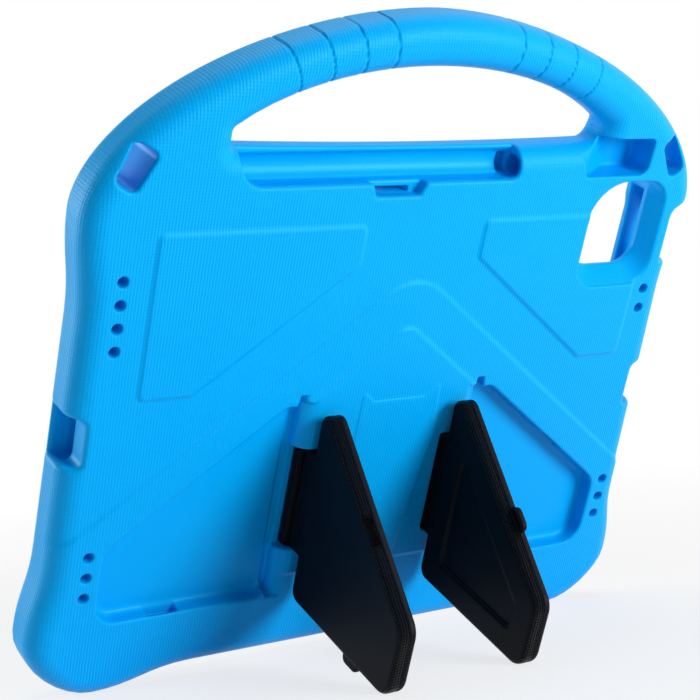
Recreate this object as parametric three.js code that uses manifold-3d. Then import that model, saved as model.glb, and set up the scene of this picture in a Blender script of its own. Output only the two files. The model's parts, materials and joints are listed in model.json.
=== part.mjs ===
// Moulded foam tablet case with a carrying handle and two fold-out wings that make it stand.
// Millimetres. The case is drawn upright: X to the right seen from behind, Y into the case
// towards the screen, Z up, with the origin at the middle of the tablet on the back face.
// The finished case leans back until both wing tips and both lower corners touch the table.

import * as THREE from 'three';
import { mergeVertices } from 'three/addons/utils/BufferGeometryUtils.js';
import Module from 'manifold-3d';

const wasm = await Module();
wasm.setup();

// Tablet that the case holds
const tabletWidth = 247.6;
const tabletHeight = 178.5;
const tabletDepth = 5.9;
const tabletCorner = 11;
const tabletPlay = 0.6;

// Section of the case
const backPlate = 10.7;
const lipDepth = 3.8;
const lipOverlap = 3.5;
const sideLipOverlap = 8;
const backRound = 9;
const frontRound = 5;
const stepRise = 1;
const stepBevel = 0.8;

// Outline of the case, seen from behind: how far each side stands out past the tablet's bay at
// four heights, how far in its rounded foot starts, and the heights that count from the bay's edges
const portWalls = { shoulder: 15.9, waist: 12.5, hip: 13.9, foot: 18.4 };
const keyWalls = { shoulder: 11.1, waist: 7.5, hip: 10.8, foot: 16.7 };
const portToe = 29;
const keyToe = 28.3;
const archAbove = 71.75;
const archShift = 2.4;
const shoulderBelow = 2.35;
const waistTop = 49.3;
const waistDrop = 45.8;
const footWideAbove = 5.85;
const toeBelow = 20.55;
const sillBelow = 13.95;
const sillHalf = 72;
const archPower = 1.807;

// Carrying handle
const openLeftIn = 53.7;
const openRightIn = 54;
const openRightLean = 2;
const openArcHalf = 104;
const openArcRise = 54.8;
const barAbove = 22.55;
const barSag = 1.42;
const openLeftRound = 1.6;
const openRightRound = 2.3;
const openFootRound = 5.1;
const openFlareBack = 9;
const openFlareFront = 8.4;
const grooveWidth = 0.9;
const grooveDepth = 0.8;
const grooveFirst = 27.8;
const groovePitch = 13.1;
const groovesPerSide = 4;

// Pencil channel in the bar under the handle
const pencilRadius = 5.4;
const pencilAxisDepth = 6.3;
const pencilAxisBelow = 7.8;
const pencilStart = 80.5;
const pencilEnd = 39;
const pencilPocketLength = 7;
const pencilPocketRadius = 4.6;
const upperLipDepth = 8.6;
const lowerLipBelow = 5.1;
const chargeStart = 27;
const chargeEnd = 4;
const chargeBelow = 10.1;
const chargeDepth = 5;
const slitStart = 25;
const slitEnd = 9;
const slitTopBelow = 7.4;
const slitBottomBelow = 11.2;

// Recess over the volume keys, placed from the bay's upper corner
const keyRecessDepth = 13;
const keyRecess = {
  leftIn: 50.9, apexIn: 58.4, waistIn: 51.9, shoulderIn: 38.9, rightIn: 18.6, sideIn: 19.4,
  bottom: 9.9, apex: 22.75, waist: 24.65, top: 25.3, round: 4.5, tightRound: 1.4,
};

// Strap slots in the upper corners
const portStrapIn = 0.7;
const keyStrapIn = 5.9;
const strapAbove = 17.4;
const strapLength = 16;
const strapWidth = 8.6;
const strapRound = 2.6;
const strapAngle = 62;

// Camera window, placed in from the bay's side and down from its top
const windowOuter = { leftIn: 44.7, rightIn: 4.9, bottom: 38.35, top: -7.25, round: 11 };
const windowInner = { leftIn: 41.4, rightIn: 8.9, bottom: 32.25, top: -6, round: 9.5 };
const windowOuterFarRound = 18;
const windowFarRound = 16;
const windowNearRound = 3;
const windowSlopeDepth = 8;

// Speaker holes
const speakerIn = 0.4;
const keySpeakerIn = 4.8;
const speakerRadius = 2.4;
const speakerPitch = 8.9;
const speakerLower = 61.9;
const speakerUpper = 39.6;
const speakerDepth = 12.5;
const lowerSpeakers = 3;
const upperSpeakers = 4;
const keySideSpeakers = 2;

// Cut-outs in the short sides, each down to a wall that is left beside the bay
const portHalf = 10.5;
const portWall = 5.4;
const plugHalf = 8;
const sideCutWall = 0.8;
const sideCutHalf = 9.8;
const sideCutRise = 2.3;
const keyCutWall = 0.8;
const keyCutTop = 84;
const keyCutBottom = 60.5;
const keyCutTopRise = 6;
const keyCutTopRound = 5;
const keyCutRound = 2;

// Raised fields on the back
const panelInner = 27.6;
const panelTopBelow = 6.35;
const panelInnerFoot = 67.8;
const panelFootIn = 33.4;
const panelFoot = 19.4;
const panelOuterIn = 11.9;
const panelRound = 2.4;
const chevronAngle = 37.4;
const outerChevron = 64.5;
const outerChevronRound = 21;
const innerChevron = 42;
const innerChevronRound = 7;
const centreFoot = 66;

// Wings and their hinges
const axisOut = 33.8;
const axisDepth = 4;
const wingInner = 8.4;
const wingInnerTaper = 1.5;
const wingTipIn = 7.6;
const wingReachTaper = 0.2;
const wingTop = 13.15;
const wingFootAbove = 15.85;
const wingThick = 8.4;
const wingFace = 6.65;
const wingEdge = 2;
const wingRounds = { innerFoot: 5, outerFoot: 7.8, tip: 9, innerTop: 4.2 };
const wingGap = 1.3;
const pocketFloorGap = 0.35;
const pocketFillet = 1.6;
const knuckleRadius = 4.1;
const knuckleTop = -9.8;
const knuckleFootAbove = 20;
const knuckleGap = 0.6;
const innerWallGap = 0.5;
const swingGap = 0.4;
const bossTop = 11;
const bossFootAbove = 2;
const bossSlopeIn = 2.6;
const bossSlopeDrop = 5;
const pinRadius = 1.5;
const pinTop = 6;
const pinFootAbove = 4.5;
const runningGap = 0.3;
const sleeveWall = 0.9;
const fieldMargin = 11;
const fieldDepth = 0.8;
const latchPlace = 55;
const latchLength = 10.4;
const latchRise = 3.5;
const latchThick = 3;
const pullPlace = 51;
const pullLength = 12;
const pullDepth = 1;

// Facets and overruns
const overrun = 2;
const archSteps = 22;
const bendSteps = 7;
const cornerSteps = 5;
const roundSides = 24;
const rimSteps = 3;
const edgeSteps = 2;
const quarterTurn = 90;
const leanTolerance = 1e-7;

// Values that follow from the driving ones
const bayWidth = tabletWidth + 2 * tabletPlay;
const bayHeight = tabletHeight + 2 * tabletPlay;
const bayHalf = bayWidth / 2;
const bayRise = bayHeight / 2;
const bayFront = backPlate + tabletDepth + tabletPlay;
const caseDepth = bayFront + lipDepth;
const archRise = bayRise + archAbove;
const shoulderRise = bayRise - shoulderBelow;
const footWideDrop = bayRise - footWideAbove;
const toeDrop = bayRise + toeBelow;
const sillDrop = bayRise + sillBelow;
const farOut = bayHalf + Math.max(portWalls.foot, keyWalls.foot) + overrun;
const openLeft = bayHalf + portWalls.shoulder - openLeftIn;
const openRight = bayHalf + keyWalls.shoulder - openRightIn;
const barTop = bayRise + barAbove;
const pencilAxisRise = barTop - pencilAxisBelow;
const wingReach = bayHalf - wingTipIn - axisOut;
const wingFoot = bayRise - wingFootAbove;
const knuckleFoot = knuckleFootAbove - wingFoot;
const pinFoot = pinFootAbove - wingFoot;
const sleeveInner = pinRadius + runningGap;
const sleeveOuter = sleeveInner + sleeveWall;
const wingTilt = THREE.MathUtils.degToRad(chevronAngle);
const chevronSlope = Math.tan(wingTilt);
const raisedBack = -2 * stepRise;

const blueFoam = new THREE.MeshStandardMaterial({ color: 0x00a6ec, roughness: 0.55, metalness: 0 });
const blackFoam = new THREE.MeshStandardMaterial({ color: 0x0b0d12, roughness: 0.5, metalness: 0 });
const steel = new THREE.MeshStandardMaterial({ color: 0xb8bcc0, roughness: 0.3, metalness: 1 });
const paleNylon = new THREE.MeshStandardMaterial({ color: 0xdcdcd6, roughness: 0.5, metalness: 0 });

// Solids from geometry and back

function toSolid(geometry) {
  const bare = geometry.clone();
  bare.deleteAttribute('normal');
  bare.deleteAttribute('uv');
  const merged = mergeVertices(bare);
  return new wasm.Manifold(new wasm.Mesh({
    numProp: 3,
    vertProperties: new Float32Array(merged.attributes.position.array),
    triVerts: new Uint32Array(merged.index.array),
  }));
}

function toGeometry(solid) {
  const mesh = solid.getMesh();
  const geometry = new THREE.BufferGeometry();
  geometry.setAttribute('position', new THREE.BufferAttribute(mesh.vertProperties, 3));
  geometry.setIndex(new THREE.BufferAttribute(mesh.triVerts, 1));
  geometry.computeVertexNormals();
  return geometry;
}

function namedMesh(name, solid, material) {
  const mesh = new THREE.Mesh(toGeometry(solid), material);
  mesh.name = name;
  return mesh;
}

// Simple solids

function box(low, high) {
  const size = high.map((value, axis) => value - low[axis]);
  const geometry = new THREE.BoxGeometry(...size);
  geometry.translate(...low.map((value, axis) => value + size[axis] / 2));
  return toSolid(geometry);
}

function rod(radius, x, y, foot, top) {
  const geometry = new THREE.CylinderGeometry(radius, radius, top - foot, roundSides);
  geometry.rotateX(Math.PI / 2);
  geometry.translate(x, y, (foot + top) / 2);
  return toSolid(geometry);
}

function signedArea(points) {
  let area = 0;
  points.forEach((point, index) => {
    const next = points[(index + 1) % points.length];
    area += (point.x * next.y - next.x * point.y) / 2;
  });
  return area;
}

function counterClockwise(points) {
  return signedArea(points) < 0 ? [...points].reverse() : points;
}

// A closed solid through outlines of equal length, each given with its depth along Y
function loft(layers) {
  const count = layers[0].outline.length;
  const positions = [];
  for (const { depth, outline } of layers) {
    for (const point of outline) positions.push(point.x, depth, point.y);
  }
  const index = [];
  for (let layer = 0; layer < layers.length - 1; layer += 1) {
    for (let place = 0; place < count; place += 1) {
      const next = (place + 1) % count;
      const near = layer * count;
      const far = near + count;
      index.push(near + place, far + next, near + next);
      index.push(near + place, far + place, far + next);
    }
  }
  addCap(index, layers[0].outline, 0, false);
  addCap(index, layers[layers.length - 1].outline, (layers.length - 1) * count, true);
  const geometry = new THREE.BufferGeometry();
  geometry.setAttribute('position', new THREE.Float32BufferAttribute(positions, 3));
  geometry.setIndex(index);
  return toSolid(geometry);
}

function addCap(index, outline, first, far) {
  for (const face of THREE.ShapeUtils.triangulateShape(outline, [])) {
    const corners = face.map((place) => outline[place]);
    const turned = (signedArea(corners) < 0) !== far;
    const [a, b, c] = turned ? [face[0], face[2], face[1]] : face;
    index.push(first + a, first + b, first + c);
  }
}

function prism(outline, near, far) {
  const points = counterClockwise(outline);
  return loft([{ depth: near, outline: points }, { depth: far, outline: points }]);
}

// A prism along X of an outline given in Y and Z
function alongX(outline, left, right) {
  return prism(outline, left, right).rotate([0, 0, quarterTurn]).mirror([1, 0, 0]);
}

// A prism along Z of an outline given in X and Y
function alongZ(outline, foot, top) {
  return prism(outline, foot, top).rotate([quarterTurn, 0, 0]).mirror([0, 1, 0]);
}

// The outline moved outwards by a distance, or inwards by a negative one
function grow(outline, distance) {
  const count = outline.length;
  return outline.map((point, place) => {
    const before = outline[(place + count - 1) % count];
    const after = outline[(place + 1) % count];
    const one = point.clone().sub(before).normalize();
    const two = after.clone().sub(point).normalize();
    const out = new THREE.Vector2(one.y + two.y, -one.x - two.x).normalize();
    const stretch = Math.max(out.dot(new THREE.Vector2(one.y, -one.x)), Math.SQRT1_2);
    return point.clone().addScaledVector(out, distance / stretch);
  });
}

// Corners given as [x, z, radius], each rounded with an arc
function roundedOutline(corners, steps = cornerSteps) {
  const points = [];
  const count = corners.length;
  corners.forEach(([x, z, radius], place) => {
    const corner = new THREE.Vector2(x, z);
    const before = new THREE.Vector2(...corners[(place + count - 1) % count].slice(0, 2));
    const after = new THREE.Vector2(...corners[(place + 1) % count].slice(0, 2));
    const back = before.sub(corner).normalize();
    const ahead = after.sub(corner).normalize();
    const half = Math.acos(THREE.MathUtils.clamp(back.dot(ahead), -1, 1)) / 2;
    if (radius === 0) {
      points.push(corner);
      return;
    }
    const reach = radius / Math.tan(half);
    const start = corner.clone().addScaledVector(back, reach);
    const end = corner.clone().addScaledVector(ahead, reach);
    const bisector = back.clone().add(ahead).normalize();
    const centre = corner.clone().addScaledVector(bisector, radius / Math.sin(half));
    const from = start.sub(centre);
    const to = end.sub(centre);
    const turn = Math.atan2(from.cross(to), from.dot(to));
    for (let step = 0; step <= steps; step += 1) {
      points.push(from.clone().rotateAround(new THREE.Vector2(), turn * step / steps).add(centre));
    }
  });
  return counterClockwise(points);
}

function rectangle(left, right, bottom, top, radius) {
  return roundedOutline([
    [left, bottom, radius], [right, bottom, radius], [right, top, radius], [left, top, radius],
  ]);
}

// Depths and insets of a quarter round, from the face inwards
function roundSteps(radius, steps) {
  return Array.from({ length: steps + 1 }, (_, step) => {
    const angle = Math.PI / 2 * (1 - step / steps);
    return { depth: radius * (1 - Math.sin(angle)), inset: radius * (1 - Math.cos(angle)) };
  });
}

// A slab between two depths with both its rims rounded inwards, or flared when flare is -1
function roundedSlab(outline, near, far, nearRound, farRound, steps, flare = 1) {
  const layers = [];
  for (const { depth, inset } of roundSteps(nearRound, steps)) {
    layers.push({ depth: near + depth, outline: grow(outline, -flare * inset) });
  }
  for (const { depth, inset } of roundSteps(farRound, steps).reverse()) {
    layers.push({ depth: far - depth, outline: grow(outline, -flare * inset) });
  }
  return loft(layers);
}

function flaredHole(outline, near, far, nearRound, farRound, steps) {
  const hole = roundedSlab(outline, near, far, nearRound, farRound, steps, -1);
  const mouth = prism(grow(outline, nearRound), near - overrun, near);
  const tail = prism(grow(outline, farRound), far, far + overrun);
  return hole.add(mouth).add(tail);
}

// Outline of the whole case

function bend(points, from, to, fromHandle, toHandle, steps) {
  const curve = new THREE.CubicBezierCurve(from, fromHandle, toHandle, to);
  points.push(...curve.getPoints(steps).slice(1));
}

function sideOutline(walls, toeIn, apex) {
  const points = [];
  const handleShare = 0.45;
  const cornerShare = 0.434;
  const at = (x, z) => new THREE.Vector2(x, z);
  const [shoulder, waist, hip, foot] = [walls.shoulder, walls.waist, walls.hip, walls.foot].map(
    (wall) => bayHalf + wall);
  for (let step = 0; step <= archSteps; step += 1) {
    const angle = Math.PI / 2 * (1 - step / archSteps);
    const across = Math.cos(angle) ** (2 / archPower);
    const up = Math.sin(angle) ** (2 / archPower);
    points.push(at(apex + (shoulder - apex) * across, shoulderRise + (archRise - shoulderRise) * up));
  }
  const upperRun = (shoulderRise - waistTop) * handleShare;
  bend(points, at(shoulder, shoulderRise), at(waist, waistTop),
    at(shoulder, shoulderRise - upperRun), at(waist, waistTop + upperRun), bendSteps);
  points.push(at(hip, -waistDrop));
  const footRun = (footWideDrop - waistDrop) * handleShare;
  bend(points, at(hip, -waistDrop), at(foot, -footWideDrop),
    at(hip, -waistDrop - footRun), at(foot, -footWideDrop + footRun), bendSteps);
  const toe = foot - toeIn;
  const cornerRun = (toeDrop - footWideDrop) * cornerShare;
  bend(points, at(foot, -footWideDrop), at(toe, -toeDrop),
    at(foot, -footWideDrop - cornerRun), at(toe + toeIn * cornerShare, -toeDrop), bendSteps + 1);
  const sillRun = (toe - sillHalf) * handleShare;
  bend(points, at(toe, -toeDrop), at(sillHalf, -sillDrop),
    at(toe - sillRun, -toeDrop), at(sillHalf + sillRun, -sillDrop), bendSteps);
  points.push(at(0, -sillDrop));
  return points;
}

function caseOutline() {
  const keySide = sideOutline(keyWalls, keyToe, -archShift);
  const portSide = sideOutline(portWalls, portToe, archShift);
  const mirrored = portSide.slice(1, -1).reverse().map((point) => new THREE.Vector2(-point.x, point.y));
  return counterClockwise([...keySide, ...mirrored]);
}

// Body with its raised fields

function chevronOutline(apex, radius, half, foot) {
  return roundedOutline([
    [0, apex, radius], [half, apex - half * chevronSlope, 0], [half, -foot, 0],
    [-half, -foot, 0], [-half, apex - half * chevronSlope, 0],
  ], bendSteps);
}

function raisedField(outline, rise) {
  return loft([
    { depth: -rise, outline: grow(outline, -stepBevel) },
    { depth: stepRise - rise, outline },
    { depth: backPlate / 2, outline },
  ]);
}

function panelOutline(side) {
  const footInner = bayHalf - panelFootIn;
  const outer = bayHalf - panelOuterIn;
  const top = bayRise - panelTopBelow;
  return roundedOutline([
    [side * panelInner, top, panelRound], [side * panelInner, panelInnerFoot, panelRound],
    [side * footInner, panelFoot, panelRound], [side * outer, panelFoot, panelRound],
    [side * outer, top, panelRound],
  ]);
}

function caseBody() {
  const outline = caseOutline();
  const plain = roundedSlab(outline, 0, caseDepth, backRound, frontRound, rimSteps);
  const stepped = roundedSlab(outline, -stepRise, caseDepth, backRound, frontRound, rimSteps);
  const lowerHalf = chevronOutline(outerChevron, outerChevronRound, farOut, toeDrop + overrun);
  const lower = stepped.intersect(prism(lowerHalf, -stepRise - overrun, caseDepth + overrun));
  const centreHalf = axisOut + wingInner;
  const centre = chevronOutline(innerChevron, innerChevronRound, centreHalf, centreFoot);
  let body = plain.add(lower).add(raisedField(centre, -raisedBack));
  for (const side of [-1, 1]) body = body.add(raisedField(panelOutline(side), stepRise));
  return body;
}

// Cuts for the tablet

function tabletBay() {
  const bay = prism(rectangle(-bayHalf, bayHalf, -bayRise, bayRise, tabletCorner), backPlate, bayFront);
  const half = bayHalf - sideLipOverlap;
  const rise = bayRise - lipOverlap;
  const screen = rectangle(-half, half, -rise, rise, tabletCorner - lipOverlap);
  return bay.add(prism(screen, bayFront - overrun, caseDepth + overrun));
}

function windowOutline({ leftIn, rightIn, bottom, top, round }, farRound, nearRound) {
  const [left, right] = [bayHalf - leftIn, bayHalf - rightIn];
  const [low, high] = [bayRise - bottom, bayRise - top];
  return roundedOutline([
    [left, low, round], [right, low, round], [right, high, nearRound], [left, high, farRound],
  ]);
}

function cameraWindow() {
  const outer = windowOutline(windowOuter, windowOuterFarRound, windowOuter.round);
  const inner = windowOutline(windowInner, windowFarRound, windowNearRound);
  return loft([
    { depth: -stepRise - overrun, outline: outer },
    { depth: 0, outline: outer },
    { depth: windowSlopeDepth, outline: inner },
    { depth: caseDepth + overrun, outline: inner },
  ]);
}

function speakerColumn(x, lowest, count) {
  return Array.from({ length: count }, (_, place) => {
    const hole = rod(speakerRadius, 0, 0, 0, speakerDepth + overrun).rotate([-quarterTurn, 0, 0]);
    return hole.translate([x, -overrun, lowest + place * speakerPitch]);
  });
}

function speakerHoles() {
  const out = bayHalf - speakerIn;
  return [
    ...speakerColumn(-out, -speakerLower, lowerSpeakers),
    ...speakerColumn(out, -speakerLower, lowerSpeakers),
    ...speakerColumn(-out, speakerUpper, upperSpeakers),
    ...speakerColumn(bayHalf - keySpeakerIn, speakerUpper, keySideSpeakers),
  ];
}

function sideCuts() {
  const near = -stepRise - overrun;
  const portIn = bayHalf + portWall;
  const sideCutIn = bayHalf + sideCutWall;
  const keyCutIn = bayHalf + keyCutWall;
  const port = box([-farOut, near, -portHalf], [-portIn, bayFront, portHalf]);
  const plug = box([-portIn - overrun, backPlate, -plugHalf], [-bayHalf + overrun, bayFront, plugHalf]);
  const side = box([sideCutIn, near, sideCutRise - sideCutHalf],
    [farOut, bayFront, sideCutRise + sideCutHalf]);
  const keyOutline = roundedOutline([
    [keyCutIn, keyCutBottom, keyCutRound], [farOut, keyCutBottom - keyCutRound, 0],
    [farOut, keyCutTop + keyCutTopRise, 0], [keyCutIn, keyCutTop, keyCutTopRound],
  ]);
  return [port, plug, side, prism(keyOutline, near, bayFront)];
}

// Cuts in the handle

function openArc(x) {
  return shoulderRise + openArcRise * Math.sqrt(1 - ((x + archShift) / openArcHalf) ** 2);
}

// The top of the bar, which sags a little between the two ends of the opening
function barTopAt(x) {
  const middle = (openRight - openLeft) / 2;
  const half = (openRight + openLeft) / 2;
  return barTop - barSag * (1 - ((x - middle) / half) ** 2);
}

function handleOpening() {
  const arcSteps = 2 * bendSteps;
  const across = (step, steps) => -openLeft + (openRight + openLeft) * step / steps;
  const corners = [[-openLeft, barTop, openLeftRound]];
  for (let step = 1; step < bendSteps; step += 1) {
    const x = across(step, bendSteps);
    corners.push([x, barTopAt(x), 0]);
  }
  corners.push([openRight - openRightLean, barTop, openFootRound]);
  corners.push([openRight, openArc(openRight), openRightRound]);
  for (let step = arcSteps - 1; step > 0; step -= 1) {
    const x = across(step, arcSteps);
    corners.push([x, openArc(x), 0]);
  }
  corners.push([-openLeft, openArc(-openLeft), openLeftRound]);
  return flaredHole(roundedOutline(corners, bendSteps), 0, caseDepth, openFlareBack, openFlareFront,
    rimSteps);
}

function handleGrooves() {
  const cuts = [];
  for (const side of [-1, 1]) {
    for (let place = 0; place < groovesPerSide; place += 1) {
      const x = side * (grooveFirst + groovePitch * place);
      const z = (openArc(x) + outerArc(x)) / 2;
      const middleArc = (across) => (openArc(across) + outerArc(across)) / 2;
      const lean = Math.atan2(middleArc(x + groovePitch) - middleArc(x - groovePitch), 2 * groovePitch);
      const tall = (outerArc(x) - openArc(x)) * Math.cos(lean);
      cuts.push(grooveRing(tall).rotate([0, -THREE.MathUtils.radToDeg(lean), 0]).translate([x, 0, z]));
    }
  }
  return cuts;
}

function outerArc(x) {
  const across = x + archShift;
  const wall = across < 0 ? portWalls.shoulder : keyWalls.shoulder;
  const half = bayHalf + wall + Math.sign(across) * archShift;
  const share = 1 - (Math.abs(across) / half) ** archPower;
  return shoulderRise + (archRise - shoulderRise) * share ** (1 / archPower);
}

// A thin slice around the handle bar, empty where the bar's core stays
function grooveRing(tall) {
  const slice = box([-grooveWidth / 2, -overrun, -tall / 2 - overrun],
    [grooveWidth / 2, caseDepth + overrun, tall / 2 + overrun]);
  const coreTall = tall / 2 - grooveDepth;
  const within = (round) => Math.min(round, coreTall);
  const core = roundedOutline([
    [grooveDepth, -coreTall, within(openFlareBack - grooveDepth)],
    [caseDepth - grooveDepth, -coreTall, within(openFlareFront)],
    [caseDepth - grooveDepth, coreTall, within(frontRound)],
    [grooveDepth, coreTall, within(backRound - grooveDepth)],
  ]);
  return slice.subtract(alongX(core, -grooveWidth, grooveWidth));
}

// Cuts in the bar

function circleOutline(radius, x, y) {
  return Array.from({ length: roundSides }, (_, place) => {
    const angle = 2 * Math.PI * place / roundSides;
    return new THREE.Vector2(x + radius * Math.cos(angle), y + radius * Math.sin(angle));
  });
}

function pencilChannel() {
  const tube = alongX(circleOutline(pencilRadius, pencilAxisDepth, pencilAxisRise), -pencilStart, pencilEnd);
  const pocket = alongX(circleOutline(pencilPocketRadius, pencilAxisDepth, pencilAxisRise),
    pencilEnd - overrun, pencilEnd + pencilPocketLength);
  const lowerLip = pencilAxisRise - lowerLipBelow;
  const mouth = box([-pencilStart, -overrun, lowerLip], [pencilEnd, upperLipDepth, barTop + overrun]);
  const under = box([-pencilStart, -overrun, lowerLip], [pencilEnd, pencilAxisDepth, pencilAxisRise]);
  const charge = box([-chargeStart, -overrun, pencilAxisRise - chargeBelow],
    [-chargeEnd, chargeDepth, pencilAxisRise]);
  const slit = box([-slitStart, chargeDepth - overrun, pencilAxisRise - slitBottomBelow],
    [-slitEnd, caseDepth + overrun, pencilAxisRise - slitTopBelow]);
  return [tube, pocket, mouth, under, charge, slit];
}

function keyRecessCut() {
  const { leftIn, apexIn, waistIn, shoulderIn, rightIn, sideIn, round, tightRound } = keyRecess;
  const { bottom, apex, waist, top } = keyRecess;
  const corners = [
    [leftIn, bottom, tightRound], [sideIn, bottom, round], [rightIn, top, round / 2],
    [shoulderIn, top, round], [waistIn, waist, tightRound], [apexIn, apex, tightRound],
  ];
  const outline = roundedOutline(corners.map(([inset, above, corner]) => [
    bayHalf - inset, bayRise + above, corner,
  ]));
  return prism(outline, -overrun, keyRecessDepth);
}

function strapSlots() {
  return [-1, 1].map((side) => {
    const slot = prism(rectangle(-strapWidth / 2, strapWidth / 2, -strapLength / 2, strapLength / 2,
      strapRound), -overrun, caseDepth + overrun);
    const lean = side * (quarterTurn - strapAngle);
    const out = bayHalf - (side < 0 ? portStrapIn : keyStrapIn);
    return slot.rotate([0, -lean, 0]).translate([side * out, 0, bayRise + strapAbove]);
  });
}

// Wings, drawn folded flat with the hinge axis at the origin and the outer face towards -Y

function wingOutline(side, margin = 0) {
  const tipDrop = (wingReach - wingInner) * chevronSlope;
  const corners = grow([
    new THREE.Vector2(wingInner + wingInnerTaper, -wingFoot),
    new THREE.Vector2(wingReach - wingReachTaper, -wingFoot),
    new THREE.Vector2(wingReach, wingTop - tipDrop), new THREE.Vector2(wingInner, wingTop),
  ], margin);
  const { innerFoot, outerFoot, tip, innerTop } = wingRounds;
  const rounds = [innerFoot, outerFoot, tip, innerTop];
  return roundedOutline(corners.map((corner, place) => [side * corner.x, corner.y, rounds[place]]));
}

function wingPlate(side) {
  const outline = wingOutline(side);
  const plate = roundedSlab(outline, -wingFace, wingThick - wingFace, wingEdge, wingEdge, edgeSteps);
  const field = wingOutline(side, -fieldMargin);
  const recess = loft([
    { depth: -wingFace - overrun, outline: field },
    { depth: -wingFace, outline: field },
    { depth: fieldDepth - wingFace, outline: grow(field, -fieldDepth) },
  ]);
  return plate.subtract(recess);
}

function wingKnuckle(side) {
  const barrel = rod(knuckleRadius, 0, 0, knuckleFoot, knuckleTop);
  const reach = side * (wingInner + wingInnerTaper + 2 * wingEdge);
  const web = box([Math.min(0, reach), -wingFace, knuckleFoot],
    [Math.max(0, reach), wingThick - wingFace, knuckleTop]);
  return barrel.add(web);
}

function diagonalPoint(side, along) {
  return new THREE.Vector3(side * along, 0, wingTop - (along - wingInner) * chevronSlope);
}

// A block that lies along the wing's sloping edge
function diagonalBlock(side, along, length, rise, near, far) {
  const block = box([-length / 2, near, -rise], [length / 2, far, rise]);
  const place = diagonalPoint(side, along);
  return block.rotate([0, side * chevronAngle, 0]).translate([place.x, 0, place.z]);
}

function latchSpan() {
  const far = wingThick - wingFace - wingEdge / 2;
  return [far - latchThick, far];
}

function wingSolid(side) {
  const [near, far] = latchSpan();
  let wing = wingPlate(side).add(wingKnuckle(side));
  if (side > 0) {
    wing = wing.add(diagonalBlock(side, latchPlace, latchLength, latchRise, near, far));
  } else {
    const centre = side * latchPlace;
    wing = wing.add(box([centre - latchLength / 2, near, -wingFoot - latchRise],
      [centre + latchLength / 2, far, -wingFoot + latchRise]));
    wing = wing.subtract(diagonalBlock(side, pullPlace, pullLength, pullDepth, near, far + overrun));
  }
  const bore = rod(sleeveOuter + runningGap, 0, 0, knuckleFoot - overrun, knuckleTop + overrun);
  return wing.subtract(bore);
}

function hingeSleeve() {
  const outer = rod(sleeveOuter, 0, 0, knuckleFoot + runningGap, knuckleTop - runningGap);
  return outer.subtract(rod(sleeveInner, 0, 0, knuckleFoot - overrun, knuckleTop + overrun));
}

// Cuts that the wings fold into

function wingPocket(side) {
  const floor = axisDepth + wingThick - wingFace + pocketFloorGap;
  const outline = grow(wingOutline(side), wingGap).map(
    (point) => new THREE.Vector2(point.x + side * axisOut, point.y));
  const pocket = loft([
    { depth: raisedBack - overrun, outline },
    { depth: floor - pocketFillet, outline },
    { depth: floor, outline: grow(outline, -pocketFillet / 2) },
  ]);
  return pocket.subtract(bossCore(side));
}

function bossCore(side) {
  const inner = side * (axisOut - knuckleRadius * 2);
  const edge = side * (axisOut + wingInner - swingGap);
  return box([Math.min(inner, edge), raisedBack - overrun, bossFootAbove - wingFoot - overrun],
    [Math.max(inner, edge), backPlate, bossTop]);
}

// What the inner edge of a wing sweeps past, and the slope that the bosses have there
function wingSweep(side) {
  const edge = axisOut + wingInner + wingGap;
  const floor = axisDepth + wingThick - wingFace + pocketFloorGap;
  const low = [side > 0 ? axisOut : -edge, raisedBack - overrun, -wingFoot - wingGap];
  const high = [side > 0 ? edge : -axisOut, floor, wingTop + wingGap];
  const swept = box(low, high).subtract(rod(wingInner - swingGap, side * axisOut, axisDepth,
    -wingFoot - overrun, wingTop + overrun));
  const start = axisOut + bossSlopeIn;
  const slope = alongZ([
    new THREE.Vector2(side * start, raisedBack), new THREE.Vector2(side * start, raisedBack - overrun),
    new THREE.Vector2(side * edge, raisedBack - overrun),
    new THREE.Vector2(side * edge, raisedBack + bossSlopeDrop),
  ], -wingFoot - wingGap, bossTop);
  return [swept, slope];
}

function knuckleTrough(side) {
  const foot = knuckleFoot - knuckleGap;
  const top = knuckleTop + knuckleGap;
  const floor = axisDepth + wingThick - wingFace + pocketFloorGap;
  const inner = side * (axisOut - wingFace - innerWallGap);
  const edge = side * (axisOut + wingInner + wingGap);
  const above = box([Math.min(inner, edge), raisedBack - overrun, foot],
    [Math.max(inner, edge), axisDepth, top]);
  const web = box([Math.min(side * axisOut, edge), 0, foot], [Math.max(side * axisOut, edge), floor, top]);
  const barrel = rod(knuckleRadius + innerWallGap, side * axisOut, axisDepth, foot, top);
  return [above, web, barrel];
}

function pinBore(side) {
  return rod(sleeveInner, side * axisOut, axisDepth, pinFoot - runningGap, pinTop + runningGap);
}

// Room for a latch, open to the back so that the stiff latch can pass
function latchNotch(side) {
  const near = raisedBack - overrun - axisDepth;
  const far = latchSpan()[1] + pocketFloorGap;
  const reach = latchRise + wingGap;
  const length = latchLength + 2 * wingGap;
  if (side > 0) {
    return diagonalBlock(side, latchPlace, length, reach, near, far)
      .translate([side * axisOut, axisDepth, 0]);
  }
  const centre = side * (axisOut + latchPlace);
  return box([centre - length / 2, axisDepth + near, -wingFoot - reach],
    [centre + length / 2, axisDepth + far, -wingFoot]);
}

// The shell with every cut

function foamShell() {
  const cuts = [
    tabletBay(), cameraWindow(), ...speakerHoles(), ...sideCuts(), handleOpening(), ...handleGrooves(),
    ...pencilChannel(), keyRecessCut(), ...strapSlots(),
  ];
  for (const side of [-1, 1]) {
    cuts.push(wingPocket(side), ...wingSweep(side), ...knuckleTrough(side), pinBore(side), latchNotch(side));
  }
  return cuts.reduce((shell, cut) => shell.subtract(cut), caseBody());
}

// Assembly

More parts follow.
